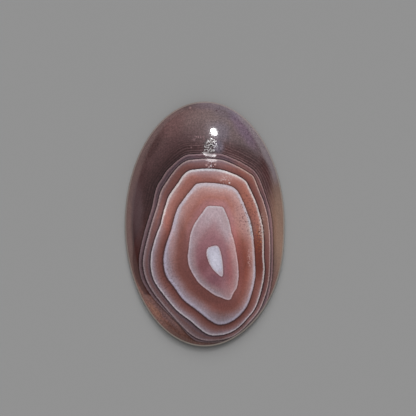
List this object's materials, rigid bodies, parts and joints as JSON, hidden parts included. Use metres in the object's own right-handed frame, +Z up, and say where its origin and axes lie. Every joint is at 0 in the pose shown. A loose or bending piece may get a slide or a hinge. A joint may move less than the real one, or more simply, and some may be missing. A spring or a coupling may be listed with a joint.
{
  "type": "agate cabochon",
  "caption": "Oval polished banded agate cabochon with a flat lapped back, a narrow bezel girdle and a high dome; a gemstone for jewellery or display.",
  "frame": {"origin": "middle of the flat back, in the plane that the stone rests on", "axes": "+Z up out of the dome, +Y along the stone's length towards the plain dark end, +X across its width to the right when the dome is seen from above"},
  "size_m": [0.03, 0.046, 0.0075],
  "materials": {
    "banded_agate": "polished"
  },
  "bodies": {
    "root": {"agate_cabochon": "banded_agate"}
  },
  "joints": []
}
